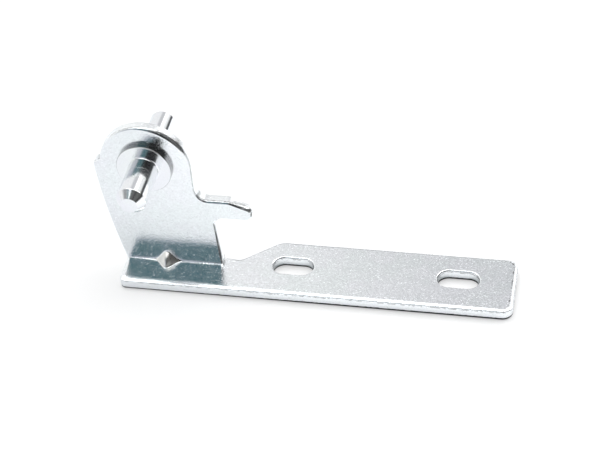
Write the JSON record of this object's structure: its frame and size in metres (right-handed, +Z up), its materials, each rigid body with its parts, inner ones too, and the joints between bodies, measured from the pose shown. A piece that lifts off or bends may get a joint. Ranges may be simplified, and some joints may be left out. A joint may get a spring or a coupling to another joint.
{
  "type": "refrigerator door hinge bracket",
  "caption": "Right-angle steel hinge bracket with two screw slots, a turned pin that carries an appliance door, and a finger that stops the door.",
  "frame": {"origin": "on the underside of the plate, midway between the two screw slots", "axes": "+X along the plate towards its free end, +Z up from the plate's screwed face, and the pin's front shaft points along -Y"},
  "size_m": [0.1128, 0.0361, 0.049],
  "materials": {
    "zinc_plated_sheet": "bright clear zinc plating on stamped steel, satin faces and shiny rolled edges",
    "zinc_plated_pin": "bright clear zinc plating on turned steel, shiny with fine turning marks"
  },
  "bodies": {
    "root": {"bracket": "zinc_plated_sheet", "hinge_pin": "zinc_plated_pin"}
  },
  "joints": []
}
